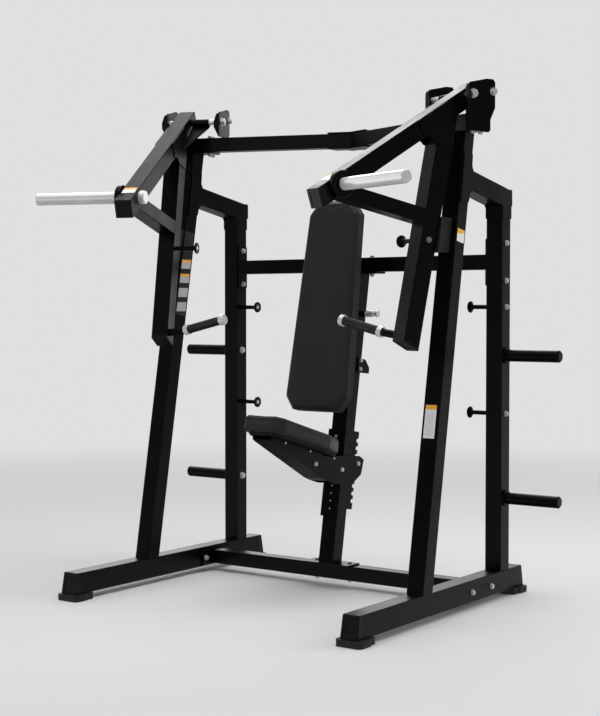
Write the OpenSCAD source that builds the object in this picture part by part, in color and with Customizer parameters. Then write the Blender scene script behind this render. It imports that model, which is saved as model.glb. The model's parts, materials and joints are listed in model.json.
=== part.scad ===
// Plate-loaded chest press machine with two converging press arms.
// Millimetres, +Z up, floor at Z = 0. X = 0 is the symmetry plane, the user faces -Y.
// Front is -Y, rear is +Y; "left" pieces lie at -X and "right" pieces at +X.

/* [Frame] */
// Outer size of the square frame tube
tube = 75; // [70:1:80]
// Wall thickness of every tube
wall = 3; // [2:0.5:4]
// Distance from the symmetry plane to each side frame's centre
side_x = 708; // [700:1:720]
// Height of the floor rails
rail_h = 90; // [85:1:95]
// Rearward lean of the front uprights and the seat post, in degrees
lean = 10.05; // [9.5:0.05:10.5]
// Height of the rear crossbar's centre
crossbar_z = 1424; // [1400:1:1450]
// Height of the upper storage peg
peg_high_z = 1028.5; // [1000:0.5:1060]
// Height of the lower storage peg
peg_low_z = 424; // [380:0.5:460]
// Diameter of the storage pegs and weight horns
horn_d = 50; // [48:0.5:50]

/* [Arms] */
// Angle between each pivot axis and the X axis, seen from above
converge = 20; // [19:0.5:21]
// Distance from the origin to each arm's centre plane, along its pivot axis
arm_off = 793; // [791:0.5:795]
// Slope of the lever below horizontal, at rest
lever_slope = 31; // [30.5:0.1:31.5]
// Slope of the handle tube from vertical, at rest
drop_slope = 11.85; // [11.5:0.05:12]
// Diameter of the pivot shaft
shaft_d = 20; // [18:0.5:20]
// Length of the weight horn outside its collar
horn_len = 381; // [340:1:400]
// Diameter of the rubber grip
grip_d = 39; // [37:0.5:41]

/* [Seat and backrest] */
// Slope of the seat, front end up, in degrees
seat_slope = 15.5; // [15:0.1:16]
// Thickness of the seat cushion
seat_t = 68; // [64:1:70]
// Pitch of the seat rack's notches
rack_pitch = 33.9; // [33:0.1:34.5]
// Thickness of the backrest cushion
back_t = 62; // [56:1:64]
// Pitch of the backrest slider's holes
slider_pitch = 20; // [18:1:20]

/* [Hidden] */

BLACK = "#1b1b1d";
CHROME = "#d8d8d8";
ZINC = "#b9bcc0";
RUBBER = "#141414";
PAD = "#2b2b2d";

$fn = 48;
gap = 0.1;                     // between separate pieces that touch
centre_y = 446.5;              // moves the floor centre of the machine to the origin
half = tube / 2;
tube_r = 3;                    // outer corner radius of the tubes
plate_t = 8;                   // end plates and pivot bracket ears
bolt_r = 6;
bolt_hole = bolt_r + 0.5;
inner_face = side_x - half;    // inner and outer faces of the side frames
outer_face = side_x + half;
flange_x = inner_face - plate_t;
lean_tan = tan(lean);
lean_cos = cos(lean);

// ---------------------------------------------------------------- helpers
module place() translate([0, centre_y, 0]) children();
module both() { children(); mirror([1, 0, 0]) children(); }
// Turn a piece built along Z to point along +X or +Y
module along_x() rotate([0, 90, 0]) children();
module along_y() rotate([-90, 0, 0]) children();
module at_heights(heights) for (z = heights) translate([0, 0, z]) children();

// Rectangle with rounded corners, centred
module rrect(w, h, r) {
  square([w - 2 * r, h], center = true);
  square([w, h - 2 * r], center = true);
  for (i = [-1, 1], j = [-1, 1])
    translate([i * (w / 2 - r), j * (h / 2 - r)]) circle(r = r, $fn = 32);
}
module tube_section(w, h) difference() {
  rrect(w, h, tube_r);
  rrect(w - 2 * wall, h - 2 * wall, tube_r - wall * 0.6);
}
// Tubes along X, Y or Z, centred on their other two axes
module xtube(w, h, from, to)
  translate([from, 0, 0]) rotate([90, 0, 90]) linear_extrude(to - from) tube_section(w, h);
module ytube(w, h, from, to)
  translate([0, to, 0]) rotate([90, 0, 0]) linear_extrude(to - from) tube_section(w, h);
module ztube(w, h, from, to)
  translate([0, 0, from]) linear_extrude(to - from) tube_section(w, h);
// Round bars, cones and hexagons
module zbar(r, from, to) translate([0, 0, from]) cylinder(r = r, h = to - from);
module xbar(r, from, to) along_x() zbar(r, from, to);
module ybar(r, from, to) along_y() zbar(r, from, to);
module zcone(r1, r2, from, to) translate([0, 0, from]) cylinder(r1 = r1, r2 = r2, h = to - from);
module zhex(r, from, to) translate([0, 0, from]) cylinder(r = r, h = to - from, $fn = 6);
module xhex(r, from, to) along_x() zhex(r, from, to);
module yhex(r, from, to) along_y() zhex(r, from, to);
// Flat plates outlined in Y and Z, or in X and Z
module yz_plate(points, from, to)
  translate([from, 0, 0]) rotate([90, 0, 90]) linear_extrude(to - from) polygon(points);
module xz_plate(points, from, to)
  translate([0, to, 0]) rotate([90, 0, 0]) linear_extrude(to - from) polygon(points);
// Symmetric outline from its half widths: [half width, distance]
function outline(p) = concat(p, [for (i = [len(p) - 1:-1:0]) [-p[i][0], p[i][1]]]);

// Bolt along Z clamping from..to, head at the upper end and nut at the lower
module zbolt(r, from, to) {
  washer_t = 1.5;
  zbar(r, from, to);
  zbar(2.1 * r, to, to + washer_t);
  zhex(1.75 * r, to + washer_t, to + washer_t + 1.2 * r);
  zbar(2.1 * r, from - washer_t, from);
  zhex(1.75 * r, from - washer_t - 1.5 * r, from - washer_t);
  zbar(r, from - washer_t - 2 * r, from);
}
module xbolt(r, from, to) along_x() zbolt(r, from, to);

// Bored band peg along Z: mushroom head with its free face at 0, foot at length
module band_peg(length) difference() {
  union() {
    zbar(9.5, 19, length);
    rotate_extrude()
      polygon([[0, 0], [22.5, 0], [25, 2.5], [25, 7], [14, 14], [9.5, 20], [0, 20]]);
  }
  zbar(6.2, -10, length + 20);
  zbar(13.5, -10, 5);
}
// Its countersunk bolt, with washer and nut beyond the tube's far face
module band_peg_bolt(face, washer_r, nut_end, tail) {
  zcone(9, 12, 0.6, 4.9);
  zbar(bolt_r, 4, face + tail);
  zbar(washer_r, face + gap, face + 2);
  zhex(10.5, face + 2, face + nut_end);
}

// ---------------------------------------------------------------- frame
rail_z = 26.5;                 // underside of the floor rails
rail_top = rail_z + rail_h;
rail_front = -1065;
rail_rear = 172;
front_y = -624.1;              // centreline of the front uprights at the floor
rear_y = 37.5;                 // centreline of the rear uprights and crossbar
cross_size = 64;               // section of the two lower crossbars
floor_y = -163;                // centreline of the floor crossmember
floor_z = 66;
beam_size = 63;
beam_top = 2012;
beam_x = -7;                   // centre of the top crossbeam, in the arm frame
beam_bolt_y = 749;             // middle of its bolt pattern, in the arm frame
front_top = beam_top - beam_size - plate_t;
splice_t = 6;
link_z = 1758;                 // top of the link at y = link_y
link_y = -103;
link_h = 80;
storage_zs = [peg_high_z, peg_low_z];
storage_end = 993;
band_zs = [1234, 782];
band_x = 571;                  // free face of the frame's band pegs
accessory_zs = [982, 1020];    // bolts of the accessory bracket, along the post

function link_top(y) = link_z - (y - link_y) * lean_tan;
function link_bottom(y) = link_top(y) - link_h / lean_cos;
// Front and rear faces of the front upright at height z
function upright_front(z) = front_y + z * lean_tan - half;
function upright_rear(z) = front_y + z * lean_tan + half;

// Arm frame in plan: X forward and inboard, Y outboard along the pivot axis
module arm_turn() rotate([0, 0, -(90 + converge)]) children();
module upright_at() translate([side_x, front_y, 0]) rotate([-lean, 0, 0]) children();
module rear_at(heights) translate([0, rear_y, 0]) at_heights(heights) children();
module at_floor_bolts()
  for (k = [-1, 1]) translate([0, floor_y + k * 82, floor_z]) children();
module at_crossbar_bolts() rear_at([crossbar_z - 79, crossbar_z + 79]) children();
module at_beam_bolts()
  for (i = [-1, 1], j = [-1, 1]) translate([beam_x + i * 20, beam_bolt_y + j * 70, 0]) children();
module at_post_foot_bolts() both() translate([88, floor_y, 0]) children();
module at_post_head_bolts() both() translate([74, rear_y, 0]) children();

module base_rails() color(BLACK) place() both() difference() {
  translate([side_x, 0, rail_z + rail_h / 2]) ytube(tube, rail_h, rail_front, rail_rear);
  at_floor_bolts() xbar(bolt_hole, side_x - 50, side_x + 50);
}

module front_uprights() color(BLACK) place() both() {
  difference() {
    upright_at() ztube(tube, tube, 60, 2060);
    translate([600, -900, 0]) cube([220, 700, rail_top + gap]);
    translate([600, -600, front_top]) cube([220, 700, 300]);
  }
  // bolting plate on top of the upright
  arm_turn() difference() {
    translate([beam_x - 40, beam_bolt_y - 98, front_top]) cube([90, 196, plate_t - gap]);
    at_beam_bolts() zbar(bolt_hole, front_top - 5, front_top + 15);
  }
}

module rear_uprights() color(BLACK) place() both() difference() {
  translate([side_x, rear_y, 0]) ztube(tube, tube, rail_top + gap, 1720);
  yz_plate([[-20, link_bottom(-20) - gap], [100, link_bottom(100) - gap], [100, 1900],
    [-20, 1900]], 600, 820);
  at_crossbar_bolts() xbar(bolt_hole, side_x - 50, side_x + 50);
  rear_at(band_zs) xbar(bolt_hole, side_x - 50, side_x + 50);
  rear_at(storage_zs) xbar(8.5, side_x - 50, side_x + 50);
}

module top_links() color(BLACK) place() both() difference() {
  translate([side_x, link_y, link_z - link_h / 2 / lean_cos]) rotate([-lean, 0, 0])
    ytube(tube, link_h, -300, 300);
  upright_at() translate([-60, -700, 1400]) cube([120, 700 + half + gap, 600]);
  translate([600, 76, 1500]) cube([220, 400, 400]);
}

// Plate joining front upright and link
module front_gusset() yz_plate([
  [upright_front(1652) + 8, 1652], [upright_front(1850) + 4, 1850],
  [upright_rear(1850) - 4, 1850], [upright_rear(1802), 1802],
  [upright_rear(1790) + 14, link_top(-240) - 3], [-52, link_top(-52) - 2],
  [-52, link_bottom(-52) + 2], [upright_rear(1712) + 22, link_bottom(-265) + 2],
  [upright_rear(1690) + 2, 1690], [upright_rear(1660) - 1, 1660],
  [upright_rear(1652) - 8, 1652]], 0, 4);
// Plate joining rear upright and link
module rear_gusset() yz_plate([
  [-50, link_top(-50) - 2], [75, link_top(75) - 2], [75, 1606], [3, 1606], [0, 1609],
  [0, 1645], [-4, 1655], [-14, link_bottom(-14) + 2], [-50, link_bottom(-50) + 2]], 0, 4);
module frame_gusset_plates() color(BLACK) place() both()
  for (x = [outer_face + gap, inner_face - 4 - gap]) translate([x, 0, 0]) {
    front_gusset();
    rear_gusset();
  }

module rear_crossbar() color(BLACK) place() difference() {
  union() {
    translate([0, rear_y, crossbar_z]) xtube(cross_size, cross_size, -flange_x, flange_x);
    both() translate([flange_x, 0, crossbar_z]) yz_plate([[12, -100], [63, -100], [69, -92],
      [69, 92], [63, 100], [12, 100], [6, 92], [6, -92]], 0, plate_t - gap);
  }
  both() at_crossbar_bolts() xbar(bolt_hole, side_x - 60, side_x);
  at_post_head_bolts() zbar(bolt_hole, crossbar_z - 60, crossbar_z + 60);
}

module floor_crossmember() color(BLACK) place() difference() {
  union() {
    translate([0, floor_y, floor_z]) xtube(cross_size, cross_size, -flange_x, flange_x);
    both() translate([flange_x, floor_y - 105, floor_z - 36]) cube([plate_t - gap, 210, 72]);
  }
  both() at_floor_bolts() xbar(bolt_hole, side_x - 60, side_x);
  at_post_foot_bolts() zbar(bolt_hole, 0, 140);
}

module top_crossbeam() color(BLACK) place() both() difference() {
  arm_turn() difference() {
    translate([beam_x, 0, beam_top - beam_size / 2])
      ytube(beam_size, beam_size, -60, ear_out0 - gap);
    at_beam_bolts() zbar(bolt_hole, 1900, 2030);
  }
  // mitre at the symmetry plane
  translate([-200 + gap / 2, -300, 1900]) cube([200, 600, 200]);
}

module splice_outline() intersection() {
  both() arm_turn() translate([beam_x - 35, -60]) square([70, 180]);
  translate([-100, -200]) square([200, 400]);
}
module beam_splice_plates() color(BLACK) place()
  at_heights([beam_top + gap, beam_top - beam_size - splice_t - gap])
    linear_extrude(splice_t) splice_outline();

// Rail end frame: Y outward from the end of the rail, Z from the floor
module at_rail_ends() place() both() {
  translate([side_x, rail_front, 0]) mirror([0, 1, 0]) children();
  translate([side_x, rail_rear, 0]) children();
}
module rail_cap() difference() {
  intersection() {
    yz_plate([[gap, 0], [36, 0], [36, 3], [19, rail_h - 2.5], [16.5, rail_h], [gap, rail_h]],
      -half, half);
    translate([0, -1, rail_h / 2]) along_y() linear_extrude(60) rrect(tube, rail_h, 3.5);
  }
  translate([0, 27.5, rail_h / 2]) rotate([11.4, 0, 0]) cube([50, 3, 60], center = true);
}
module tube_end_caps() color(RUBBER) {
  at_rail_ends() translate([0, 0, rail_z]) rail_cap();
  // cap on the rear end of each top link
  place() both() translate([side_x, 0, 0]) yz_plate([
    [76.2, link_bottom(76) + 14], [84, link_bottom(84) + 16], [86, link_bottom(86) + 20],
    [86, link_top(86) - 4], [83, link_top(84) + 2], [76.2, link_top(76) + 3.5]],
    -half - 2, half + 2);
}

module rubber_feet() color(RUBBER) at_rail_ends() linear_extrude(rail_z - gap) {
  translate([0, 5]) rrect(114, 80, 15);
  translate([0, -49]) rrect(100, 40, 10);
}

module storage_pegs() color(BLACK) place() both() rear_at(storage_zs) along_x() difference() {
  union() {
    zbar(34, outer_face + gap, outer_face + 9);
    zbar(horn_d / 2, outer_face + 8, storage_end);
    zcone(horn_d / 2, horn_d / 2 - 5, storage_end, storage_end + 5);
  }
  zbar(8.3, outer_face - 5, outer_face + 60);
}

module band_pegs() color(BLACK) place() both() rear_at(band_zs)
  translate([band_x, 0, 0]) along_x() band_peg(inner_face - gap - band_x);

module arm_bumpers() color(RUBBER) place() both() difference() {
  translate([side_x - 9, upright_front(1520) - 60, 1449]) linear_extrude(139) rrect(48, 200, 7);
  // back against the upright, front against the handle tube at rest
  upright_at() translate([-100, -half - gap, 1200]) cube([200, 400, 700]);
  arm_turn() drop_at() translate([-half - drop_extra - 0.6, -200, -300]) cube([300, 400, 600]);
}

module frame_bolts() color(ZINC) place() {
  both() {
    at_floor_bolts() xbolt(bolt_r, flange_x - gap, outer_face + gap);
    at_crossbar_bolts() xbolt(bolt_r, flange_x - gap, outer_face + gap);
    rear_at(storage_zs) {
      xbar(8, inner_face - 2, outer_face + 40);
      xbar(16, inner_face - 2 - gap, inner_face - gap);
      xhex(13, inner_face - 12, inner_face - 2);
    }
    rear_at(band_zs) translate([band_x, 0, 0]) along_x()
      band_peg_bolt(outer_face - band_x, washer_r = 12.5, nut_end = 10, tail = 13);
    arm_turn() at_beam_bolts() zbolt(bolt_r, front_top - gap, beam_top + gap);
  }
  at_post_foot_bolts()
    zbolt(bolt_r, floor_z - cross_size / 2 - gap, post_bottom + plate_t + 2 * gap);
  at_post_head_bolts()
    zbolt(bolt_r, post_top - plate_t - 2 * gap, crossbar_z + cross_size / 2 + gap);
  post_at() {
    translate([0, 60, 0]) at_heights(accessory_zs) {
      xbar(5, -half - 8, half + 5 + gap);
      xbar(9, half + 5 + 2 * gap, half + 6.5);
      xhex(8.5, half + 6.5, half + 13);
      xhex(8.5, -half - 8, -half - gap);
    }
    // screws along the front of the wear sleeve
    at_heights(sleeve_zs) ybar(4.2, -7.5, -2 * gap);
    translate([0, -sleeve_t - gap, 669]) ybar(7, -5, 0);
  }
}

module blank_placards() color("#e8e8e6") place() {
  // two small plates on the right front upright, one tall plate inside the left one
  upright_at() translate([-27, -half - gap - 0.8, 722]) cube([50, 0.8, 132]);
  upright_at() translate([half + gap, -28, 1515]) cube([0.8, 56, 52]);
  mirror([1, 0, 0]) upright_at() translate([-half - gap - 0.8, -34, 1215]) cube([0.8, 62, 385]);
}

// ---------------------------------------------------------------- seat post
post_y = -246;                 // front face of the seat post at the floor
post_bottom = floor_z + cross_size / 2;
post_top = crossbar_z - cross_size / 2;
slider_z = 1229;               // backrest slider, along the post
lock_z = 560.9;                // seat lock pin, along the post
lock_y = 107;                  // seat lock pin, behind the post's front face
sleeve_t = 8;
sleeve_zs = [for (k = [0:8]) 349 + k * rack_pitch];

// Post frame: Y rearward from the post's front face, Z up along the post
module post_at() translate([0, post_y, 0]) rotate([-lean, 0, 0]) children();

module seat_post() color(BLACK) place() difference() {
  union() {
    difference() {
      post_at() translate([0, half, 0]) ztube(tube, tube, 60, 1500);
      translate([-100, -400, 0]) cube([200, 400, post_bottom + 4]);
      translate([-100, -100, post_top - 4]) cube([200, 300, 300]);
    }
    // foot and head plates, and the boss of the pull pin
    translate([-118, -228, post_bottom + gap]) cube([236, 97, plate_t]);
    translate([-118, 4, post_top - plate_t - gap]) cube([236, 74, plate_t]);
    post_at() translate([0, half, slider_z]) xbar(12.5, half - 1, 62);
  }
  at_post_foot_bolts() zbar(bolt_hole, 60, 140);
  at_post_head_bolts() zbar(bolt_hole, 1340, 1400);
  // window for the backrest slider, and holes for the pull pin and the bracket's bolts
  post_at() {
    translate([-25.2, -10, slider_z - 25.2]) cube([50.4, 100, 50.4]);
    translate([0, half, slider_z]) {
      xbar(6.05, 20, 70);
      xbar(9.1, 42, 70);
    }
    translate([0, 60, 0]) at_heights(accessory_zs) xbar(5.3, -60, 60);
  }
}

module post_wear_sleeve() color(BLACK) place() post_at() difference() {
  translate([0, 0, 314.5]) linear_extrude(387) difference() {
    translate([-45.5, -sleeve_t]) square([91, 39]);
    translate([-half - gap, -gap]) square([tube + 2 * gap, 60]);
  }
  at_heights(sleeve_zs) ybar(4.4, -20, 10);
}

// Rack notch, open to the rear
module notch() {
  radius = 8.4;
  circle(r = radius);
  translate([0, -radius]) square([30, 2 * radius]);
}
module seat_rack() color(BLACK) place() post_at() difference() {
  translate([-half, 0, 0]) yz_plate([[tube + gap, 354], [110, 354], [114, 358], [114, 698],
    [110, 703], [tube + gap, 703]], 0, tube);
  translate([-half + 6, tube + 5, 300]) cube([tube - 12, 80, 500]);
  for (k = [-5:3]) translate([-half - 5, lock_y, lock_z + k * rack_pitch])
    rotate([90, 0, 90]) linear_extrude(tube + 10) notch();
}

module accessory_bracket() color(BLACK) place() post_at() difference() {
  translate([half + gap, 0, 0]) yz_plate([[44, 964], [68, 966], [133, 971], [138, 976],
    [136, 999], [104, 1026], [98, 1030], [44, 1030]], 0, 5);
  translate([0, 60, 0]) at_heights(accessory_zs) xbar(5.3, 30, 60);
  translate([0, 129, 977]) xbar(3.5, 30, 60);
}

// ---------------------------------------------------------------- pivots
// Positions in the arm frame; "in" faces the symmetry plane
inner = arm_off - half;        // inner and outer faces of the arm tubes
outer = arm_off + half;
pivot_x = 54.7;
pivot_z = 2079.2;
tie_x = -49.5;
tie_z = 2094.7;
ear_in0 = 609;
ear_in1 = ear_in0 + plate_t;
ear_out0 = 860;
ear_out1 = ear_out0 + plate_t;
hub_r = 15;
hub0 = 667;
hub1 = outer + 3;

// side is 1 for the right arm (+X) and -1 for the left
module arm(side) place() mirror([side < 0 ? 1 : 0, 0, 0]) arm_turn() children();
module pivot_at() translate([pivot_x, 0, pivot_z]) children();
module tie_at() translate([tie_x, 0, tie_z]) children();

// Bracket ear: the inner one stands on the beam, the outer one covers its end
module ear(is_outer) difference() {
  foot_z = beam_top + gap;
  foot = is_outer ? [[-36, 1981], [-36, 1940], [-27, 1931], [88, 1934]]
    : [[-36, foot_z], [88, foot_z]];
  union() {
    xz_plate(concat([[88, 2106], [70, 2124], [-16, 2143.5], [-50, 2144], [-61, 2132],
      [-61, 2031]], foot), 0, plate_t);
    // lip on the front edge
    translate([80, 0, 0])
      yz_plate([[4, 2116], [15, 2112], [27, 2078], [27, 2054], [10, 2020], [4, 2020]], 0, 8);
  }
  pivot_at() ybar(shaft_d / 2 + 0.1, -5, 15);
  tie_at() ybar(8.3, -5, 15);
}
module pivot_bracket(side) color(BLACK) arm(side) {
  translate([0, ear_in0, 0]) ear(false);
  translate([0, ear_out0, 0]) ear(true);
}
module left_pivot_bracket() pivot_bracket(-1);
module right_pivot_bracket() pivot_bracket(1);

// Rod through both ears; tails and nuts are measured from the ears' outer faces
module ear_rod(r, in_tail, out_tail, washer_r, nut_r, in_nut, out_nut) {
  ybar(r, ear_in0 - in_tail, ear_out1 + out_tail);
  ybar(washer_r, ear_in0 - 2 - gap, ear_in0 - gap);
  ybar(washer_r, ear_out1 + gap, ear_out1 + 2 + gap);
  yhex(nut_r, ear_in0 - in_nut, ear_in0 - 2);
  yhex(nut_r, ear_out1 + 2, ear_out1 + out_nut);
}
module bracket_tie_rods() color(ZINC) for (side = [-1, 1]) arm(side) tie_at() {
  ear_rod(r = 8, in_tail = 16, out_tail = 1, washer_r = 16, nut_r = 14, in_nut = 13, out_nut = 12);
  ybar(11, ear_in1 + gap, ear_out0 - gap);
}
module pivot_shafts() color(ZINC) for (side = [-1, 1]) arm(side) pivot_at()
  ear_rod(r = shaft_d / 2, in_tail = 18, out_tail = 4, washer_r = 19, nut_r = 16.5,
    in_nut = 15, out_nut = 13);
module pivot_spacers() color(CHROME) for (side = [-1, 1]) arm(side) pivot_at() difference() {
  union() {
    ybar(13.5, ear_in1 + gap, hub0 - 0.4);
    ybar(13.5, hub1 + 0.4, ear_out0 - gap);
  }
  ybar(shaft_d / 2 + 0.2, ear_in0, ear_out1);
}

// ---------------------------------------------------------------- arms
lever_rear = -712;             // ends of the lever, along it
lever_front = 160;
horn_along = 90;               // weight horn, along the lever
horn_r = horn_d / 2;
drop_extra = 5;                // how much deeper than wide the handle tube is
band_at = [251, 655, 1496];    // free face of the arm's band peg
// Handle centreline: at the tube, at the first ring, at the free end
handle_root = [338, inner + 10, 1119.5];
grip_start = [358.9, 664.8, 1134.2];
grip_end = [414.2, 483.7, 1179.1];
grip_len = norm(grip_end - grip_start);
handle_r = 13;
handle_bore = handle_r + 0.1;

// Lever frame: X down along the lever. Handle tube frame: Z up along the tube
module lever_at() translate([600, arm_off, 1737.8]) rotate([0, lever_slope, 0]) children();
module drop_at() translate([270.9, arm_off, 1400]) rotate([0, -drop_slope, 0]) children();
module drop_end() translate([338.5, arm_off, 1080.9]) rotate([0, -28.2, 0]) children();
// Weight horn frame: Z outboard along the horn
module horn_at() lever_at() translate([horn_along, 0, 0]) along_y() children();
// Put Z on the line from start to end
module aim(start, end) {
  run = end - start;
  translate(start) rotate([0, acos(run[2] / norm(run)), atan2(run[1], run[0])]) children();
}
module grip_at() aim(grip_start, grip_end) children();
// Block from the lever's underside up
module above_lever() lever_at() translate([-1000, -100, -half - gap]) cube([1400, 200, 400]);

module lever(side) color(BLACK) arm(side) difference() {
  lever_at() xtube(tube, tube, lever_rear, lever_front);
  horn_at() zbar(horn_r - 0.7, -60, 60);
  pivot_at() ybar(hub_r + 0.15, inner - 20, outer + 20);
}
module handle_tube(side) color(BLACK) arm(side) difference() {
  drop_at() translate([-drop_extra / 2, 0, 0]) ztube(tube + drop_extra, tube, -420, 640);
  drop_end() translate([-200, -60, -200]) cube([400, 120, 209]);
  above_lever();
  translate([band_at[0], 0, band_at[2]]) ybar(bolt_hole, inner - 20, outer + 20);
}
module brace(side) color(BLACK) arm(side) difference() {
  translate([600, arm_off, 1656.3]) rotate([0, -11.4, 0]) xtube(tube, 60, -420, 260);
  drop_at() translate([-400 + half + gap, -100, -400]) cube([400, 200, 1200]);
  above_lever();
}
module arm_gussets(side) color(BLACK) arm(side) {
  // plates on both faces of the joint between lever and handle tube
  for (from = [outer + gap, inner - gap - 4])
    xz_plate([[308, 1957], [272, 1896], [246, 1905], [216, 1876], [141, 1858], [112, 1996],
      [133, 2050], [160, 2044]], from, from + 4);
  // web under the pivot hub
  pivot_at() rotate([0, 40, 0]) translate([0, 0, -hub_r - 6.2]) linear_extrude(6)
    polygon([[-8, hub0 + 1], [14, hub0 + 1], [206, inner - 4.5], [-8, inner - 4.5]]);
}
module pivot_hub(side) color(BLACK) arm(side) pivot_at() difference() {
  ybar(hub_r, hub0, hub1);
  ybar(12.1, hub0 - 1, hub1 + 1);
}
module bushings(side) color("#b08d4a") arm(side) pivot_at() difference() {
  union() {
    ybar(12, hub0 + 0.5, hub0 + 30);
    ybar(12, hub1 - 30, hub1 - 0.5);
  }
  ybar(shaft_d / 2 + 0.05, hub0 - 5, hub1 + 5);
}
module weight_horn(side) color(CHROME) arm(side) horn_at() {
  tip = half + 12 + horn_len;
  zbar(horn_r - 1, -half, half + 28);
  difference() {
    union() {
      zbar(horn_r, half + 27.7, tip);
      zcone(horn_r, horn_r - 3, tip, tip + 3);
    }
    // turned recess and centre mark on the free end
    zcone(10, 12, tip + 1.8, tip + 3.8);
    zcone(0.5, 4, tip - 4, tip + 3);
  }
  // retaining disc on the inner end
  zbar(28.5, -half - 22, -half - gap);
  zcone(26, 28.5, -half - 24.5, -half - 22);
}
module horn_collar(side) color(BLACK) arm(side) horn_at() translate([0, 0, half + gap])
  difference() {
    union() {
      cylinder(r = 53, h = 16);
      cylinder(r = 45, h = 24);
      translate([0, 0, 16]) rotate_extrude() translate([45, 0]) circle(r = 8);
      cylinder(r = 33, h = 27.5);
    }
    zbar(horn_r - 0.7, -1, 39);
  }
// Caps on the front end of the lever and the lower end of the handle tube
module arm_caps(side) color(RUBBER) arm(side) {
  lever_at() difference() {
    intersection() {
      xz_plate([[lever_front + gap, -half], [202.5, -half], [206, -half + 3],
        [189.5, half - 3], [186.6, half], [lever_front + gap, half]], -half, half);
      rotate([90, 0, 90]) linear_extrude(300) rrect(tube, tube, 3.5);
    }
    translate([197.75, 0, 0]) rotate([0, -13.45, 0]) cube([3, 50, 46], center = true);
  }
  difference() {
    intersection() {
      drop_end() translate([-200, -60, 0]) cube([400, 120, 9 - gap]);
      drop_at() translate([-drop_extra / 2, 0, -500]) linear_extrude(300)
        rrect(tube + drop_extra, tube, tube_r);
    }
    drop_end() cube([46, 48, 3], center = true);
  }
}
module handle_bar(side) color(BLACK) arm(side) difference() {
  union() {
    // thicker stem, cut square behind the first ring
    difference() {
      aim(handle_root, grip_start) cylinder(r = 16, h = norm(grip_start - handle_root) + 12);
      grip_at() translate([-60, -60, -11]) cube([120, 120, 100]);
    }
    grip_at() zbar(handle_r, -20, grip_len - 2);
  }
  translate([200, inner - gap, 1000]) cube([400, 200, 300]);
}
module grip(side) color(RUBBER) arm(side) grip_at() difference() {
  zbar(grip_d / 2, 10 + gap, grip_len - 10 - gap);
  zbar(handle_bore, -20, grip_len + 20);
}
module grip_rings(side) color(CHROME) arm(side) grip_at() {
  difference() {
    zbar(22.5, -10.9, 10);
    zbar(handle_bore, -20, 40);
  }
  difference() {
    union() {
      zbar(23.5, grip_len - 10, grip_len + 8);
      zcone(23.5, 20, grip_len + 8, grip_len + 12);
    }
    zbar(handle_bore, grip_len - 20, grip_len - 1);
  }
}
module arm_band_peg(side) color(BLACK) arm(side) translate(band_at) along_y() {
  band_peg(inner - gap - band_at[1]);
  band_peg_bolt(outer - band_at[1], washer_r = 12, nut_end = 9, tail = 12);
}

module left_lever() lever(-1);
module right_lever() lever(1);
module left_handle_tube() handle_tube(-1);
module right_handle_tube() handle_tube(1);
module left_brace() brace(-1);
module right_brace() brace(1);
module left_arm_gussets() arm_gussets(-1);
module right_arm_gussets() arm_gussets(1);
module left_pivot_hub() pivot_hub(-1);
module right_pivot_hub() pivot_hub(1);
module left_bushings() bushings(-1);
module right_bushings() bushings(1);
module left_weight_horn() weight_horn(-1);
module right_weight_horn() weight_horn(1);
module left_horn_collar() horn_collar(-1);
module right_horn_collar() horn_collar(1);
module left_arm_caps() arm_caps(-1);
module right_arm_caps() arm_caps(1);
module left_handle_bar() handle_bar(-1);
module right_handle_bar() handle_bar(1);
module left_grip() grip(-1);
module right_grip() grip(1);
module left_grip_rings() grip_rings(-1);
module right_grip_rings() grip_rings(1);
module left_arm_band_peg() arm_band_peg(-1);
module right_arm_band_peg() arm_band_peg(1);

// ---------------------------------------------------------------- seat
seat_y = -690.26;              // front edge of the seat's top face
seat_z = 787.49;
board_t = 10;
seat_top_t = 8;                // narrower top layer of the cushion
board_under = -seat_t - board_t - 2 * gap;
// Half outlines: [half width, distance from the front edge]
cushion_half = [[76, -8], [101, 44], [101, 385], [67, 500]];
cushion_top_half = [[70, 0], [93, 48], [93, 383], [60, 492]];
board_half = [[60, 16], [84, 60], [84, 378], [54, 486]];

// Seat frame: Y rearward along the top face, Z normal to it
module seat_at() translate([0, seat_y, seat_z]) rotate([-seat_slope, 0, 0]) children();
// Seat frame and post frame points as machine [y, z]
function seat_point(y, z) = [seat_y + y * cos(seat_slope) + z * sin(seat_slope),
  seat_z - y * sin(seat_slope) + z * cos(seat_slope)];
function post_point(y, z) = [post_y + y * lean_cos + z * sin(lean), z * lean_cos - y * sin(lean)];

// Cross axes of the seat bracket, machine [y, z]
roller_axis = post_point(-18, 522.9);
lock_axis = post_point(lock_y, lock_z);
tie_axis = [-375, 561];
cross_axes = [roller_axis, lock_axis, tie_axis];
side_screws = [[-590, 668], [-412, 618.6], [-232, 573]];
module at_axes(axes) for (axis = axes) translate([0, axis[0], axis[1]]) children();

module seat_cushion() color(PAD) place() seat_at() {
  translate([0, 0, -seat_t]) linear_extrude(seat_t - seat_top_t) polygon(outline(cushion_half));
  translate([0, 0, -seat_top_t]) linear_extrude(seat_top_t) polygon(outline(cushion_top_half));
}
module seat_board() color(BLACK) place() seat_at() translate([0, 0, -seat_t - board_t - gap])
  linear_extrude(board_t) polygon(outline(board_half));

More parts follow.
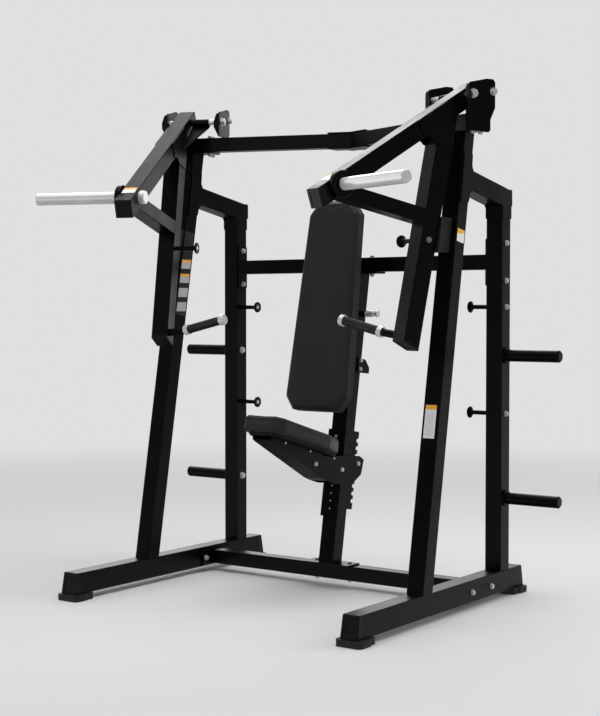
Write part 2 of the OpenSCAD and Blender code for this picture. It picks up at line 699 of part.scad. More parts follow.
// Lower front edge of the seat bracket, machine [y, z]
bracket_edge = [[-278, 477], [-312.6, 489.7], [-673.8, 677.6], [-683, 686]];
module seat_bracket() color(BLACK) place() difference() {
  union() {
    // side plates
    both() yz_plate(concat([seat_point(30, board_under), seat_point(404, board_under),
      [-320.8, 591.5], [-300, 589], [-243, 579.5], [-240.3, 584], [-28.7, 566.4],
      [5.7, 546.7], [-15.5, 483.6], [-88.6, 444.9], [-210, 457]], bracket_edge), 46, 51);
    // web along the lower front edge
    yz_plate(concat(bracket_edge, [[-679, 690], [-670, 682.5], [-310, 495], [-280, 482]]),
      -46.5, 46.5);
    // strips under the board
    both() yz_plate([seat_point(30, board_under), seat_point(404, board_under),
      seat_point(404, board_under - 5), seat_point(30, board_under - 5)], 22, 46.5);
  }
  at_axes(cross_axes) xbar(5.2, -70, 70);
  at_axes(side_screws) xbar(3.1, -70, 70);
}
module seat_roller() color(RUBBER) place() at_axes([roller_axis]) difference() {
  xbar(9.9, -43, 43);
  xbar(5.06, -50, 50);
}
module seat_lock_pin() color(ZINC) place() difference() {
  union() {
    at_axes([lock_axis]) xbar(8, -45.8, 45.8);
    at_axes([tie_axis]) xbar(9, -45.8, 45.8);
  }
  at_axes([lock_axis, tie_axis]) xbar(5.2, -70, 70);
}
module seat_bolts() color(ZINC) place() {
  at_axes(cross_axes) {
    xbar(5, -60, 53);
    both() xbar(10.5, 51 + gap, 52.6);
    xhex(9.3, 52.6, 59);
    xhex(9.3, -60, -52.6);
  }
  at_axes(side_screws) both() along_x() {
    zbar(2.9, 44.5, 52);
    zcone(6, 4, 51 + gap, 54.2 + gap);
  }
}

// ---------------------------------------------------------------- backrest
// Heights are measured along the post
back_bottom = 761;
back_low = 821;                // lower and upper side corners
back_high = 1634;
back_top = 1694;
back_front = -216;             // front face, in the post frame
bevel = 18;
slider_plate_y = -142;         // front of the slider's mounting plate

function back_half(z) = 165 - 32 * (z - back_bottom) / (back_high - back_bottom);
function back_points(inset) = outline([
  [119 - inset, back_bottom + inset],
  [back_half(back_low) - inset, back_low + inset / 2],
  [back_half(back_high) - inset, back_high - inset / 2],
  [86 - inset, back_top - inset]]);

module backrest_cushion() color(PAD) place() post_at() {
  xz_plate(back_points(0), back_front + bevel, back_front + back_t);
  xz_plate(back_points(bevel * 0.6), back_front, back_front + bevel);
}
module backrest_slider() color(BLACK) place() post_at() {
  // board behind the cushion, then mounting plate and square sliding tube
  xz_plate(back_points(18), back_front + back_t + gap, slider_plate_y - gap);
  translate([0, 0, slider_z]) difference() {
    union() {
      translate([-45, slider_plate_y, -110]) cube([90, 8, 220]);
      ytube(50, 50, -135, 80);
    }
    for (k = [0:6]) translate([0, half - k * slider_pitch, 0]) xbar(6.3, 10, 40);
  }
}
module pull_pin() color(CHROME) place() post_at() translate([0, half, slider_z]) along_x() {
  zbar(6, 17, 66);
  zbar(14, 62.2, 102);
  zcone(14, 10, 102, 105);
  zbar(8, 104, 118);
  zbar(15, 117, 127);
}

base_rails();
front_uprights();
rear_uprights();
top_links();
frame_gusset_plates();
rear_crossbar();
floor_crossmember();
top_crossbeam();
beam_splice_plates();
left_pivot_bracket();
right_pivot_bracket();
bracket_tie_rods();
pivot_shafts();
pivot_spacers();
tube_end_caps();
rubber_feet();
storage_pegs();
band_pegs();
arm_bumpers();
seat_post();
post_wear_sleeve();
seat_rack();
accessory_bracket();
frame_bolts();
blank_placards();
left_lever();
left_handle_tube();
left_brace();
left_arm_gussets();
left_pivot_hub();
left_bushings();
left_weight_horn();
left_horn_collar();
left_arm_caps();
left_handle_bar();
left_grip();
left_grip_rings();
left_arm_band_peg();
right_lever();
right_handle_tube();
right_brace();
right_arm_gussets();
right_pivot_hub();
right_bushings();
right_weight_horn();
right_horn_collar();
right_arm_caps();
right_handle_bar();
right_grip();
right_grip_rings();
right_arm_band_peg();
seat_cushion();
seat_board();
seat_bracket();
seat_roller();
seat_lock_pin();
seat_bolts();
backrest_cushion();
backrest_slider();
pull_pin();
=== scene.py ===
# A seated machine with a padded seat and backrest, two arms, levers and ribbed grips. Metres. +Z is
# up and the floor is at z = 0; -Y is the front and +X the right side.
import json
import math
from functools import cached_property
import bmesh
import bpy
import numpy as np
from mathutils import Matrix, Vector
from mathutils.bvhtree import BVHTree
from mathutils.kdtree import KDTree


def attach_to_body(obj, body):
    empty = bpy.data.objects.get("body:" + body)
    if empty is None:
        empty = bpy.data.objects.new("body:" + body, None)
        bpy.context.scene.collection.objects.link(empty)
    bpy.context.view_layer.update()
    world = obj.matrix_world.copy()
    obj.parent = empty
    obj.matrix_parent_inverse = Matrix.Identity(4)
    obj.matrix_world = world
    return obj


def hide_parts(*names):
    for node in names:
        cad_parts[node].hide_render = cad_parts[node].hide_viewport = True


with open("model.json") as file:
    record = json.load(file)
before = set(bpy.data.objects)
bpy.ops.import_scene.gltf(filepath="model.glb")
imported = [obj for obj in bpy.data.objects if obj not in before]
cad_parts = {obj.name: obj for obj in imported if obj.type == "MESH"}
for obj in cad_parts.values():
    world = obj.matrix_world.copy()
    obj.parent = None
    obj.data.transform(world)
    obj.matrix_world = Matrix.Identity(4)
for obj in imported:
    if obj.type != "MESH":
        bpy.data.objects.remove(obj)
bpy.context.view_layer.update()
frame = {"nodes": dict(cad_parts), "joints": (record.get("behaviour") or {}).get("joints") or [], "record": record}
NODES = frame["nodes"]
scene = bpy.context.scene

SIDES = ("left", "right")
ARM_TURN = math.radians(20)         # of the arms' outward axes, from X towards the front
BACKGROUND = (0.745, 0.745, 0.750)


def arm_outward(side):
    """Level direction pointing out of an arm, away from the middle of the machine."""
    sign = 1 if side == "right" else -1
    return (sign * math.cos(ARM_TURN), -math.sin(ARM_TURN), 0)


# ------------------------------------------------------------------ node helpers
def put(socket, value):
    """Links a socket to another, or sets its value; colours are given without alpha."""
    if isinstance(value, bpy.types.NodeSocket):
        socket.id_data.links.new(value, socket)
    elif socket.type == "RGBA":
        socket.default_value = (*value, 1.0)
    else:
        socket.default_value = value


class Nodes:
    """A node tree with the helpers that materials and the world share."""

    def __init__(self, tree):
        self.tree = tree

    def add(self, kind, inputs=None, **settings):
        node = self.tree.nodes.new(kind)
        for key, value in settings.items():
            setattr(node, key, value)
        for key, value in (inputs or {}).items():
            put(node.inputs[key], value)
        return node

    def remap(self, value, start, end, low=0.0, high=1.0, interpolation="LINEAR"):
        """Maps value from start..end to low..high, clamped."""
        inputs = dict(enumerate((value, start, end, low, high)))
        return self.add("ShaderNodeMapRange", inputs, clamp=True,
                        interpolation_type=interpolation).outputs[0]

    def dot(self, first, second):
        node = self.add("ShaderNodeVectorMath", {0: first, 1: second}, operation="DOT_PRODUCT")
        return node.outputs["Value"]


class Material(Nodes):
    """A material built around its Principled shader."""

    def __init__(self, name):
        self.material = bpy.data.materials.new(name)
        self.material.use_nodes = True
        super().__init__(self.material.node_tree)
        self.principled = next(n for n in self.tree.nodes if n.type == "BSDF_PRINCIPLED")

    @cached_property
    def coords(self):
        return self.add("ShaderNodeTexCoord").outputs["Object"]

    def shade(self, **inputs):
        """Sets or links Principled inputs and gives back the finished material."""
        for key, value in inputs.items():
            put(self.principled.inputs[key.replace("_", " ")], value)
        return self.material

    def noise(self, scale, detail=3.0, roughness=0.5):
        inputs = {"Scale": scale, "Detail": detail, "Roughness": roughness, "Vector": self.coords}
        return self.add("ShaderNodeTexNoise", inputs).outputs["Fac"]

    def mottle(self, scale, low=0.0, high=1.0, detail=3.0):
        """Noise whose middle range is spread over low..high."""
        return self.remap(self.noise(scale, detail), start=0.3, end=0.7, low=low, high=high)

    def voronoi(self, scale, feature="F1", coords=None):
        inputs = {"Scale": scale, "Vector": coords or self.coords}
        return self.add("ShaderNodeTexVoronoi", inputs, feature=feature).outputs["Distance"]

    def mix(self, factor, first, second):
        node = self.add("ShaderNodeMix", {0: factor, 6: first, 7: second}, data_type="RGBA")
        return node.outputs[2]

    def math(self, operation, first, second=0.0):
        inputs = {0: first, 1: second, 2: 0.0}
        return self.add("ShaderNodeMath", inputs, operation=operation).outputs[0]

    def band(self, value, low, high):
        """1 where value lies between low and high."""
        return self.math("MULTIPLY", self.math("GREATER_THAN", value, low),
                         self.math("LESS_THAN", value, high))

    def bump(self, height, strength, distance, normal=None):
        inputs = {"Strength": strength, "Distance": distance, "Height": height}
        if normal is not None:
            inputs["Normal"] = normal
        return self.add("ShaderNodeBump", inputs).outputs["Normal"]

    def bevel(self, radius):
        return self.add("ShaderNodeBevel", {"Radius": radius}, samples=4).outputs["Normal"]

    def edge_mask(self, bevel):
        """1 near edges, 0 on flats, from how far the rounded normal leaves the true one."""
        normal = self.add("ShaderNodeNewGeometry").outputs["Normal"]
        return self.remap(self.dot(bevel, normal), start=0.999, end=0.90)


def tint(colour, factor):
    return [channel * factor for channel in colour]


# ------------------------------------------------------------------ materials
def powder_coat(name, base, rough, plated=None):
    """Sandy black paint, lighter at the edges from wear and a painted edge highlight; plated(k) gives a mask of
    bare metal.
    """
    k = Material(name)
    rounded_normal = k.bevel(radius=0.0013)
    speck = k.noise(scale=420.0, detail=2.0)
    patches = k.remap(k.noise(scale=38.0, detail=4.0), start=0.42, end=0.62, low=0.25)
    # edge mask times patches: where the edges turn lighter, partly wear and partly a painted edge highlight
    wear_and_edge_highlight = k.math("MULTIPLY", k.edge_mask(rounded_normal), patches)
    colour = k.mix(k.mottle(scale=3.5), base, tint(base, 1.35))
    colour = k.mix(k.math("MULTIPLY", wear_and_edge_highlight, 0.45), colour, (0.016, 0.016, 0.017))
    roughness = k.math("ADD", k.mottle(scale=9.0, detail=4.0, low=rough - 0.04, high=rough + 0.05),
                       k.remap(speck, start=0.3, end=0.7, low=-0.03, high=0.03))
    if plated:
        metal = plated(k)
        colour = k.mix(metal, colour, (0.62, 0.63, 0.65))
        roughness = k.math("ADD", roughness, k.math("MULTIPLY", metal, -0.06))
        k.shade(Metallic=metal)
    # fine orange peel over a slightly sandy coat
    peel = k.math("ADD", k.math("MULTIPLY", k.noise(scale=260.0, detail=2.0), 1.0),
                  k.math("MULTIPLY", speck, 0.5))
    return k.shade(Base_Color=colour, Roughness=roughness, IOR=1.27,
                   Normal=k.bump(peel, strength=0.08, distance=0.0004, normal=rounded_normal))


def bolt_mask(side):
    """Mask of the plated through bolt of an arm's band peg, from its place in the arm's own frame."""
    arm_y = 0.4465          # where the arm's frame starts, on the middle plane
    bolt_across = 0.251     # bolt axis in the arm's frame
    bolt_height = 1.496
    nut_start = 0.8306      # outward from here is nut
    head_end = 0.66005      # inward from here is head
    head_radius = 0.0134
    out_x, out_y, _ = arm_outward(side)
    cos, sin = math.cos(ARM_TURN), math.sin(ARM_TURN)
    across = (-sin if side == "right" else sin, -cos, 0)

    def mask(k):
        def coord(direction, offset):
            return k.math("ADD", k.dot(k.coords, direction), offset)
        y = coord((out_x, out_y, 0), sin * arm_y)
        x = coord(across, cos * arm_y - bolt_across)
        z = coord((0, 0, 1), -bolt_height)
        squares = k.math("ADD", k.math("MULTIPLY", x, x), k.math("MULTIPLY", z, z))
        radius = k.math("SQRT", squares)
        nut = k.math("GREATER_THAN", y, nut_start)
        head = k.math("MULTIPLY", k.math("LESS_THAN", y, head_end),
                      k.math("LESS_THAN", radius, head_radius))
        return k.math("MAXIMUM", nut, head)
    return mask


def chrome(name):
    k = Material(name)
    base = (0.94, 0.945, 0.95)
    rounded_normal = k.bevel(radius=0.0012)
    marks = k.noise(scale=700.0, detail=2.0)
    return k.shade(Base_Color=k.mix(k.mottle(scale=14.0), base, tint(base, 0.93)),
                   Metallic=0.45,
                   Roughness=k.mottle(scale=60.0, detail=4.0, low=0.14, high=0.14 + 0.09),
                   Normal=k.bump(marks, strength=0.03, distance=0.0002, normal=rounded_normal))


def zinc(name):
    k = Material(name)
    rounded_normal = k.bevel(radius=0.0008)
    spangle = k.remap(k.voronoi(scale=240.0), start=0.0, end=0.6)
    return k.shade(Base_Color=k.mix(spangle, (0.82, 0.83, 0.85), (0.66, 0.67, 0.69)),
                   Metallic=0.6,
                   Roughness=k.mottle(scale=150.0, low=0.20, high=0.38),
                   Normal=k.bump(k.noise(scale=500.0, detail=2.0), strength=0.05,
                                 distance=0.0002, normal=rounded_normal))


def moulded(name, base, rough):
    """Plastic with a fine cell grain."""
    k = Material(name)
    grain = 650.0
    rounded_normal = k.bevel(radius=0.002)
    height = k.math("ADD", k.voronoi(grain),
                    k.math("MULTIPLY", k.noise(grain * 1.7, detail=2.0), 0.6))
    return k.shade(Base_Color=k.mix(k.mottle(scale=12.0), base, tint(base, 1.5)),
                   Roughness=k.mottle(scale=90.0, low=rough - 0.06, high=rough + 0.06), IOR=1.33,
                   Normal=k.bump(height, strength=0.12, distance=0.0003, normal=rounded_normal))


def vinyl(name, base):
    """Pebbled grain: two sizes of cell, with creases between them that are painted darker as shade."""
    k = Material(name)
    coords = k.add("ShaderNodeMapping", {"Vector": k.coords}).outputs["Vector"]
    fine = k.voronoi(scale=780.0, feature="DISTANCE_TO_EDGE", coords=coords)
    coarse = k.voronoi(scale=330.0, feature="DISTANCE_TO_EDGE", coords=coords)
    soft = k.noise(scale=26.0, detail=4.0, roughness=0.55)
    colour = k.mix(k.mottle(scale=5.0, detail=4.0), base, tint(base, 1.22))
    # the creases between the coarse cells are painted darker, as shade
    crease_shade = k.remap(coarse, start=0.0, end=0.12, low=0.35, high=0.0)
    roughness = k.math("ADD", k.remap(soft, start=0.3, end=0.7, low=0.42, high=0.54),
                       k.remap(fine, start=0.0, end=0.2, low=0.05, high=-0.02))
    height = k.math("ADD", k.math("MULTIPLY", k.remap(fine, start=0.0, end=0.22), 0.4),
                    k.remap(coarse, start=0.0, end=0.2, high=0.7))
    waves = k.bump(soft, strength=0.10, distance=0.004)
    return k.shade(Base_Color=k.mix(crease_shade, colour, tint(base, 0.55)), Roughness=roughness,
                   Normal=k.bump(height, strength=0.22, distance=0.0003, normal=waves),
                   IOR=1.34, Sheen_Weight=0.05, Sheen_Roughness=0.4)


def rubber(name, base, rough, depth):
    """Matt rubber with dusty patches; depth is the strength of its grain."""
    k = Material(name)
    rounded_normal = k.bevel(radius=0.0025)
    dust = k.remap(k.noise(scale=22.0, detail=5.0, roughness=0.6),
                   start=0.45, end=0.72, high=0.35)
    return k.shade(Base_Color=k.mix(dust, base, (0.035, 0.034, 0.033)),
                   Roughness=k.mottle(scale=70.0, low=rough - 0.07, high=rough + 0.08),
                   Normal=k.bump(k.noise(scale=900.0, detail=2.0), strength=depth,
                                 distance=0.0003, normal=rounded_normal))


def board_fabric(name):
    """Black weave from two crossed sets of bands."""
    k = Material(name)

    def threads(direction, **distortion):
        inputs = {"Scale": 900.0, "Vector": k.coords, **distortion}
        return k.add("ShaderNodeTexWave", inputs, wave_type="BANDS",
                     bands_direction=direction).outputs["Fac"]

    weave = k.math("MULTIPLY", threads("X", Distortion=2.0), threads("Z"))
    colour = k.mix(k.remap(weave, start=0, end=1), (0.008, 0.008, 0.008), (0.022, 0.022, 0.023))
    return k.shade(Base_Color=colour, Roughness=0.85,
                   Normal=k.bump(weave, strength=0.25, distance=0.0004))


def bronze(name):
    k = Material(name)
    return k.shade(Base_Color=k.mix(k.mottle(scale=300.0), (0.45, 0.28, 0.12), (0.62, 0.42, 0.2)),
                   Metallic=1.0, Roughness=k.mottle(scale=500.0, low=0.35, high=0.5))


PRINT_WHITE = (0.80, 0.80, 0.79)
PRINT_AMBER = (0.86, 0.42, 0.05)


def placard(name):
    """Blank plates: white with an amber top at x > 0, dark with pale panels at x < 0."""
    k = Material(name)
    position = k.add("ShaderNodeSeparateXYZ", {"Vector": k.coords})
    x, z = position.outputs["X"], position.outputs["Z"]
    top = k.math("MAXIMUM", k.band(z, low=0.8295, high=0.90), k.band(z, low=1.526, high=1.60))
    # faint grey panel inside the border of the white plate
    inner = k.math("MULTIPLY", k.band(z, low=0.727, high=0.817), k.band(x, low=0.688, high=0.723))
    light = k.mix(k.math("MULTIPLY", inner, 0.35), PRINT_WHITE, (0.60, 0.60, 0.61))
    light = k.mix(top, light, PRINT_AMBER)
    # the dark plate: a column of equal pale panels, some with an amber top
    first_panel, panel_pitch, panels_end = 1.205, 0.0645, 1.46
    along = k.math("FRACT", k.math("MULTIPLY", k.math("SUBTRACT", z, first_panel), 1 / panel_pitch))
    below_end = k.math("LESS_THAN", z, panels_end)
    panel = k.math("MULTIPLY", k.band(along, low=0.16, high=0.80), below_end)
    dark = k.mix(k.math("MULTIPLY", panel, 0.9), (0.018, 0.018, 0.02), (0.52, 0.52, 0.51))
    amber = k.math("MULTIPLY", k.band(along, low=0.60, high=0.80),
                   k.math("MULTIPLY", below_end, k.band(z, low=1.32, high=1.52)))
    dark = k.mix(amber, dark, PRINT_AMBER)
    return k.shade(Base_Color=k.mix(k.math("LESS_THAN", x, 0.0), light, dark),
                   Roughness=k.mottle(scale=120.0, low=0.30, high=0.42),
                   Normal=k.bump(k.noise(scale=400.0, detail=2.0), strength=0.04,
                                 distance=0.0002))


BLACK = (0.0014, 0.0014, 0.0015)
GRIP = rubber("grip_rubber", base=(0.009, 0.009, 0.0095), rough=0.40, depth=0.10)
VINYL = vinyl("charcoal_vinyl", base=(0.0215, 0.0215, 0.0225))
SEAM = vinyl("seam_vinyl", base=(0.027, 0.027, 0.0285))
MATERIAL_OF_SLOT = {
    "frame_paint": powder_coat("satin_black_powder_coat", base=BLACK, rough=0.33),
    "peg_paint": powder_coat("peg_powder_coat", base=(0.0013, 0.0013, 0.0014), rough=0.35),
    "chrome": chrome("polished_chrome"),
    "zinc": zinc("bright_zinc"),
    "cap_plastic": moulded("moulded_black_plastic", base=(0.0045, 0.0045, 0.0048), rough=0.42),
    "roller_plastic": moulded("hard_plastic", base=(0.03, 0.03, 0.03), rough=0.4),
    "rubber": rubber("foot_rubber", base=(0.012, 0.012, 0.0125), rough=0.62, depth=0.16),
    "grip_rubber": GRIP,
    "vinyl": VINYL,
    "board": board_fabric("board_fabric"),
    "bronze": bronze("sintered_bronze"),
    "placard": placard("blank_print"),
}


def use(node, material):
    slots = NODES[node].data.materials
    slots.clear()
    slots.append(material)


slot_of = {part["node"]: part["material_slot"] for part in frame["record"]["subparts"]}
for node in NODES:
    use(node, MATERIAL_OF_SLOT[slot_of[node]])
for side in SIDES:
    use(side + "_arm_band_peg",
        powder_coat(side + "_peg_with_bolt", base=BLACK, rough=0.33, plated=bolt_mask(side)))


# ------------------------------------------------------------------ mesh helpers
def new_object(name, verts, faces, material, smooth=True):
    mesh = bpy.data.meshes.new(name)
    mesh.from_pydata([tuple(v) for v in verts], [], faces)
    mesh.validate()
    bm = bmesh.new()
    bm.from_mesh(mesh)
    bmesh.ops.recalc_face_normals(bm, faces=bm.faces)
    bm.to_mesh(mesh)
    bm.free()
    obj = bpy.data.objects.new(name, mesh)
    scene.collection.objects.link(obj)
    mesh.materials.append(material)
    if smooth:
        for polygon in mesh.polygons:
            polygon.use_smooth = True
    return obj


def attach(obj, body, replaced=None):
    """Parents an object to the body it rides on and hides the CAD node it replaces."""
    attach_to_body(obj, body)
    if replaced:
        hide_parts(replaced)


def cad_points(node):
    return np.array([v.co for v in NODES[node].data.vertices], float)


def unit(vector):
    return vector / np.linalg.norm(vector)


def long_axis(offsets):
    """Direction in which points, given from their centre, spread most."""
    return np.linalg.svd(offsets, full_matrices=False)[2][0]


def corners(points):
    """Each point of a closed outline with the ones before and after it."""
    n = len(points)
    for i in range(n):
        yield tuple(np.array(points[(i + k) % n], float) for k in (-1, 0, 1))


def rounded(points, radius, steps):
    """Closed outline with rounded corners, steps + 1 points on each."""
    out = []
    for before, corner, after in corners(points):
        a, b = before - corner, after - corner
        length_a, length_b = np.linalg.norm(a), np.linalg.norm(b)
        a, b = a / length_a, b / length_b
        angle = math.acos(max(-1, min(1, a @ b)))
        cut = min(radius / math.tan(angle / 2), 0.45 * length_a, 0.45 * length_b)
        fitted = cut * math.tan(angle / 2)
        centre = corner + (a + b) / np.linalg.norm(a + b) * fitted / math.sin(angle / 2)
        from_start, from_end = corner + a * cut - centre, corner + b * cut - centre
        start = math.atan2(from_start[1], from_start[0])
        end = math.atan2(from_end[1], from_end[0])
        turn = (end - start + math.pi) % (2 * math.pi) - math.pi
        for k in range(steps + 1):
            t = start + turn * k / steps
            out.append(centre + fitted * np.array([math.cos(t), math.sin(t)]))
    return out


def inset(points, distance):
    """Moves each side of a counter-clockwise outline in by distance."""
    out = []
    for before, corner, after in corners(points):
        edge_in, edge_out = unit(corner - before), unit(after - corner)
        normal_in = np.array([-edge_in[1], edge_in[0]])
        normal_out = np.array([-edge_out[1], edge_out[0]])
        mitre = unit(normal_in + normal_out)
        out.append(corner + mitre * distance / max(0.3, mitre @ normal_in))
    return out


def band_faces(rows, columns, closed=False, start=0):
    """Quads joining rings of points; closed also joins the last ring to the first."""
    faces = []
    for row in range(rows if closed else rows - 1):
        this = start + row * columns
        following = start + (row + 1) % rows * columns
        for i in range(columns):
            j = (i + 1) % columns
            faces.append((this + i, this + j, following + j, following + i))
    return faces


def loft(rings):
    """Closed solid from rings of equal length, with one polygon on each end."""
    n = len(rings[0])
    verts = [v for ring in rings for v in ring]
    faces = band_faces(len(rings), n)
    faces.append(tuple(range(n))[::-1])
    faces.append(tuple(range((len(rings) - 1) * n, len(rings) * n)))
    return verts, faces


def circle(centre, u, v, radius, sides):
    angles = [2 * math.pi * s / sides for s in range(sides)]
    return [centre + radius * (math.cos(a) * u + math.sin(a) * v) for a in angles]


def sweep(path, radius, sides=8):
    """Round bead along a closed path."""
    n = len(path)
    verts = []
    u = np.array([0.3, 0.2, 0.9])
    for i in range(n):
        tangent = unit(path[(i + 1) % n] - path[i - 1])
        if i == 0:
            u = np.cross(tangent, u)
        u = unit(u - (u @ tangent) * tangent)
        verts += circle(path[i], u, np.cross(tangent, u), radius, sides)
    return verts, band_faces(n, sides, closed=True)


def resample(path, step):
    """Even points along a closed path, about step apart."""
    points = np.array(path)
    loop = np.vstack([points, points[:1]])
    lengths = np.linalg.norm(np.diff(loop, axis=0), axis=1)
    travelled = np.concatenate([[0], np.cumsum(lengths)])
    n = max(8, int(travelled[-1] / step))
    t = np.linspace(0, travelled[-1], n, endpoint=False)
    return np.stack([np.interp(t, travelled, loop[:, k]) for k in range(3)], 1)


# ------------------------------------------------------------------ cushion building
CLOTH_FRAMES = 20
COVER_PRESSURE = 3.0
PAD_FILLET = 0.0026         # rounding of a pad's section
RING_STEP = 0.008           # greatest gap between rings on the section
OUTLINE_STEP = 0.011        # gap between points on the outline's straights
CORNER_STEPS = 6
SEAM_STEP = 0.006
# how far in towards the spine each ring on the face lies
FACE_RINGS = (0.008, 0.04, 0.09, 0.15, 0.22, 0.30, 0.39, 0.49, 0.60, 0.72, 0.84, 0.96)
STITCH_SPACING = 0.0062
STITCH_LENGTH = 0.0040
STITCH_RADIUS = 0.00042
# along (of the length), radius (of the radius), height above the cover
STITCH_STATIONS = ((-0.5, 0.25, -0.0002), (-0.36, 1.0, 0.0003),
                   (0.36, 1.0, 0.0003), (0.5, 0.25, -0.0002))


def voxel_copy(pad, voxel):
    """Copy of a pad rebuilt as an even skin, its voxel steps eased."""
    copy = bpy.data.objects.new(pad.name + "_cloth", pad.data.copy())
    scene.collection.objects.link(copy)
    bpy.context.view_layer.objects.active = copy
    remesh = copy.modifiers.new("remesh", "REMESH")
    remesh.mode = "VOXEL"
    remesh.voxel_size = voxel
    bpy.context.view_layer.update()
    depsgraph = bpy.context.evaluated_depsgraph_get()
    mesh = bpy.data.meshes.new_from_object(copy.evaluated_get(depsgraph))
    copy.modifiers.clear()
    copy.data = mesh
    bm = bmesh.new()
    bm.from_mesh(mesh)
    for _ in range(2):
        bmesh.ops.smooth_vert(bm, verts=bm.verts, factor=0.5,
                              use_axis_x=True, use_axis_y=True, use_axis_z=True)
    bm.to_mesh(mesh)
    bm.free()
    return copy


def mesh_points(mesh):
    flat = np.zeros(len(mesh.vertices) * 3)
    mesh.vertices.foreach_get("co", flat)
    return flat.reshape(-1, 3)


def inflate(skin):
    """Runs the pressurised cloth and gives back the points it ends at."""
    cloth = skin.modifiers.new("cloth", "CLOTH")
    settings = cloth.settings
    settings.quality = 4
    settings.mass = 0.25
    settings.tension_stiffness = 18
    settings.compression_stiffness = 18
    settings.shear_stiffness = 8
    settings.bending_stiffness = 1.5
    settings.use_pressure = True
    settings.uniform_pressure_force = COVER_PRESSURE
    settings.effector_weights.gravity = 0.0
    settings.vertex_group_mass = "pin"
    cloth.collision_settings.use_collision = False
    cloth.point_cache.frame_start = 1
    cloth.point_cache.frame_end = CLOTH_FRAMES
    scene.frame_start, scene.frame_end = 1, CLOTH_FRAMES
    for f in range(1, CLOTH_FRAMES + 1):
        scene.frame_set(f)
    depsgraph = bpy.context.evaluated_depsgraph_get()
    done = bpy.data.meshes.new_from_object(skin.evaluated_get(depsgraph))
    points = mesh_points(done)
    scene.frame_set(1)
    bpy.data.objects.remove(skin)
    bpy.data.meshes.remove(done)
    return points


def puff(pad, voxel, limit, pinned):
    """Inflates a voxel copy of a pad as cloth and carries its movement over to the pad.
    Points where pinned(p) is true stay put."""
    skin = voxel_copy(pad, voxel)
    rest = mesh_points(skin.data)
    group = skin.vertex_groups.new(name="pin")
    for i, point in enumerate(rest):
        if pinned(point):
            group.add([i], 1.0, "REPLACE")
    moves = inflate(skin) - rest
    # soft limit, so that the crown stays smooth where it would be cut off
    size = np.linalg.norm(moves, axis=1)
    kept = np.where(size > 1e-9, limit * np.tanh(size / limit) / np.maximum(size, 1e-9), 1.0)
    moves = moves * kept[:, None]
    tree = KDTree(len(rest))
    for i, point in enumerate(rest):
        tree.insert(point, i)
    tree.balance()
    for v in pad.data.vertices:
        near = tree.find_n(v.co, 14)
        weights = np.array([1.0 / (0.004 + distance) for _, _, distance in near])
        nearby = moves[[i for _, i, _ in near]]
        move = (nearby * weights[:, None]).sum(0) / weights.sum()
        v.co = Vector(np.array(v.co) + move)
    pad.data.update()


def profile_rings(profile):
    """Section points (inset, height, corner radius), inner ones rounded and long runs divided."""
    points = [np.array(p, float) for p in profile]
    smooth = [points[0]]
    for before, p, after in zip(points, points[1:], points[2:]):
        length_a = np.linalg.norm((before - p)[:2])
        length_b = np.linalg.norm((after - p)[:2])
        cut = min(PAD_FILLET, 0.42 * length_a, 0.42 * length_b)
        s, e = p + (before - p) * cut / length_a, p + (after - p) * cut / length_b
        smooth += [(1 - t) ** 2 * s + 2 * t * (1 - t) * p + t * t * e
                   for t in (0, 0.25, 0.5, 0.75, 1)]
    smooth.append(points[-1])
    shortest_run = 0.004
    end_gap = 0.0012        # rings this close to the ends of a run keep its edges crisp
    out = [smooth[0]]
    for a, b in zip(smooth, smooth[1:]):
        length = np.linalg.norm((b - a)[:2])
        if length < shortest_run:
            out.append(b)
            continue
        edge = end_gap / length
        n = max(1, math.ceil((length - 2 * end_gap) / RING_STEP))
        fractions = [edge + (1 - 2 * edge) * q / n for q in range(n + 1)] + [1.0]
        out += [a + (b - a) * t for t in fractions]
    return out


def pad_rings(outline, profile, spine):
    """Rings of equal point count up the side of a pad and in over its face to a centre line."""
    n = len(outline)
    counts = []
    for i in range(n):
        side_vector = np.array(outline[(i + 1) % n]) - np.array(outline[i])
        counts.append(max(2, int(np.linalg.norm(side_vector) / OUTLINE_STEP)))
    per_corner = CORNER_STEPS + 1
    rings = []
    for distance, height, radius in profile_rings(profile):
        points = rounded(inset(outline, distance), radius, CORNER_STEPS)
        ring = []
        for i in range(n):
            arc = points[i * per_corner:(i + 1) * per_corner]
            target = points[((i + 1) % n) * per_corner]
            ring += arc
            ring += [arc[-1] + (target - arc[-1]) * q / counts[i] for q in range(1, counts[i])]
        rings.append([(p[0], p[1], height) for p in ring])
    last = rings[-1]
    for t in FACE_RINGS:
        rings.append([(a * (1 - t), b + (min(max(b, spine[0]), spine[1]) - b) * t, h)
                      for a, b, h in last])
    return rings


def onto(tree, path, lift):
    """Path points dropped onto the cushion's surface, raised by lift along its normal."""
    out = []
    for p in path:
        place, normal, _, _ = tree.find_nearest(Vector(p))
        out.append(np.array(place) + np.array(normal) * lift)
    points = np.array(out)
    for _ in range(3):
        points = 0.5 * points + 0.25 * (np.roll(points, 1, 0) + np.roll(points, -1, 0))
    return points


def stitches(name, tree, path, body):
    """A row of short raised threads along a path on the cushion."""
    points = resample(path, STITCH_SPACING)
    verts, faces = [], []
    n = len(points)
    for i in range(n):
        place, normal, _, _ = tree.find_nearest(Vector(points[i]))
        place, normal = np.array(place), np.array(normal)
        tangent = points[(i + 1) % n] - points[i - 1]
        tangent = tangent - (tangent @ normal) * normal
        tangent /= max(np.linalg.norm(tangent), 1e-9)
        sideways = np.cross(normal, tangent)
        thread, thread_faces = loft([
            circle(place + tangent * along * STITCH_LENGTH + normal * height,
                   sideways, normal, STITCH_RADIUS * thickness, sides=6)
            for along, thickness, height in STITCH_STATIONS])
        faces += [tuple(len(verts) + j for j in face) for face in thread_faces]
        verts += thread
    attach(new_object(name, verts, faces, SEAM), body)


